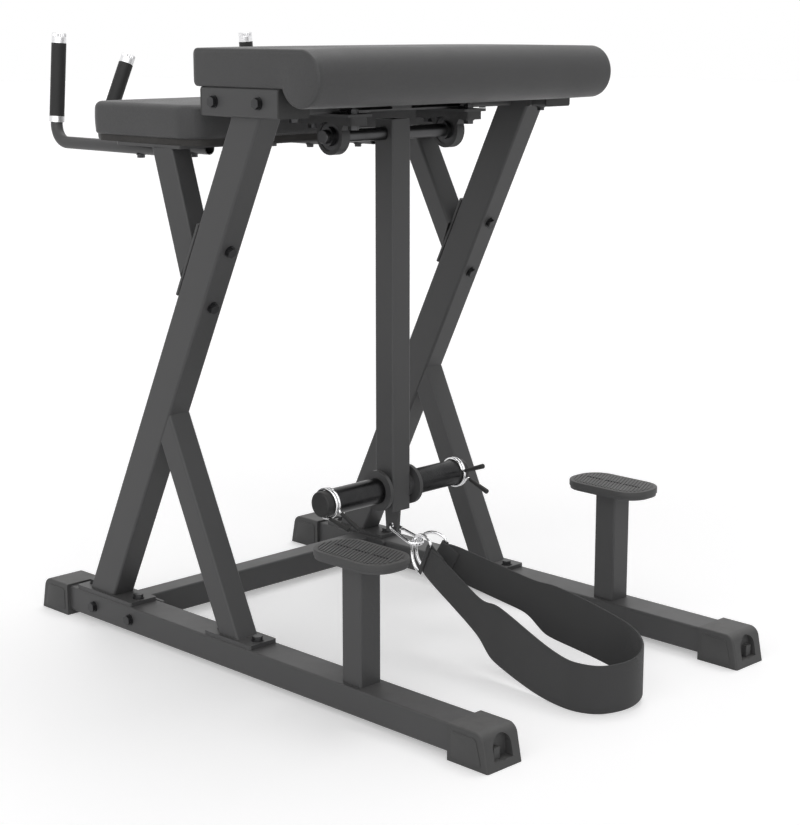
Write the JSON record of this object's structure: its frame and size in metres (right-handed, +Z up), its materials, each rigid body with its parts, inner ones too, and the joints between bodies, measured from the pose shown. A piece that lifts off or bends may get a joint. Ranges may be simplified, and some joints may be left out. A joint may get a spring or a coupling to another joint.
{
  "type": "reverse hyperextension machine",
  "caption": "Free-standing reverse hyperextension machine: padded bench on a leaning tube frame, a swinging arm with plate sleeves, and an ankle strap on a snap hook",
  "frame": {"origin": "on the floor under the middle of the overall length and width", "axes": "+X towards the foot plates, +Y to the left seen along +X, +Z up"},
  "size_m": [1.323, 0.791, 1.1563],
  "materials": {
    "frame_paint": "charcoal powder coat, satin",
    "foot_rubber": "matt moulded rubber",
    "pad_vinyl": "black upholstery vinyl, satin",
    "board_wood": "black stained plywood",
    "housing_iron": "painted, satin",
    "bright_steel": "ground",
    "sleeve_metal": "dark coated",
    "plated_wire": "bright plated",
    "grip_aluminium": "turned, satin",
    "grip_rubber": "matt",
    "plug_plastic": "matt",
    "strap_webbing": "woven webbing",
    "bolt_steel": "black zinc plated"
  },
  "bodies": {
    "frame": {"base_rail_left": "frame_paint", "base_rail_right": "frame_paint", "base_cross_tube": "frame_paint", "foot_front_left": "foot_rubber", "foot_front_right": "foot_rubber", "foot_rear_left": "foot_rubber", "foot_rear_right": "foot_rubber", "upright_left": "frame_paint", "upright_right": "frame_paint", "front_strut_left": "frame_paint", "front_strut_right": "frame_paint", "upper_strut_left": "frame_paint", "upper_strut_right": "frame_paint", "side_tube_left": "frame_paint", "side_tube_right": "frame_paint", "header_tube": "frame_paint", "bearing_plates": "frame_paint", "bearing_housings": "housing_iron", "bearing_outer_rings": "bright_steel", "tube_plugs": "plug_plastic", "chest_plate": "frame_paint", "chest_board": "board_wood", "chest_cushion": "pad_vinyl", "main_cushion": "pad_vinyl", "main_board": "board_wood", "outer_handle_left": "frame_paint", "outer_handle_right": "frame_paint", "inner_handle_left": "frame_paint", "inner_handle_right": "frame_paint", "grip_rings": "grip_aluminium", "handle_grips": "grip_rubber", "grip_end_caps": "grip_aluminium", "step_post_left": "frame_paint", "step_post_right": "frame_paint", "step_plates": "frame_paint", "step_pad_left": "foot_rubber", "step_pad_right": "foot_rubber", "base_bolts": "bolt_steel", "frame_bolts": "bolt_steel", "bearing_bolts": "bolt_steel", "handle_bolts": "bolt_steel", "pad_bolts": "bolt_steel", "step_bolts": "bolt_steel"},
    "pendulum": {"swing_arm": "frame_paint", "pivot_shaft": "bright_steel", "bearing_inner_rings": "bright_steel", "arm_hanger": "frame_paint", "weight_sleeves": "sleeve_metal", "sleeve_flanges": "frame_paint", "sleeve_end_caps": "plug_plastic"},
    "ball_sets": {"bearing_balls": "bright_steel"},
    "collar_left": {"collar_spring_left": "plated_wire", "collar_grips_left": "grip_rubber"},
    "collar_right": {"collar_spring_right": "plated_wire", "collar_grips_right": "grip_rubber"},
    "hook": {"carabiner_body": "plated_wire"},
    "hook_gate": {"carabiner_gate": "plated_wire"},
    "strap": {"d_rings": "plated_wire", "strap_loop": "strap_webbing"}
  },
  "joints": [
    {"name": "arm_swing", "type": "hinge", "parent": "frame", "child": "pendulum", "pos_m": [0.0595, 0, 0.9755], "axis": [0, -1, 0], "range_deg": [-60, 90]},
    {"name": "ball_orbit", "type": "hinge", "parent": "frame", "child": "ball_sets", "pos_m": [0.0595, 0, 0.9755], "axis": [0, -1, 0], "range_deg": [-26, 38]},
    {"name": "collar_left_slide", "type": "slide", "parent": "pendulum", "child": "collar_left", "axis": [0, 1, 0], "range_m": [-0.105, 0.08]},
    {"name": "collar_right_slide", "type": "slide", "parent": "pendulum", "child": "collar_right", "axis": [0, -1, 0], "range_m": [-0.105, 0.08]},
    {"name": "hook_swing", "type": "hinge", "parent": "pendulum", "child": "hook", "pos_m": [0.0595, 0, 0.2194], "axis": [0, -1, 0], "range_deg": [-92, 62]},
    {"name": "gate_swing", "type": "hinge", "parent": "hook", "child": "hook_gate", "pos_m": [0.07688, 0.01105, 0.21442], "axis": [-0.2756, 0, -0.9613], "range_deg": [0, 25], "stiffness_Nm_per_rad": 0.05, "springref_deg": -17.19},
    {"name": "strap_lift", "type": "hinge", "parent": "hook", "child": "strap", "pos_m": [0.12181, 0, 0.20153], "axis": [0, -1, 0], "range_deg": [0, 30]}
  ],
  "couplings": [
    {"joint": "ball_orbit", "follows": "arm_swing", "ratio": 0.4},
    {"joint": "hook_swing", "follows": "arm_swing", "ratio": -1}
  ]
}
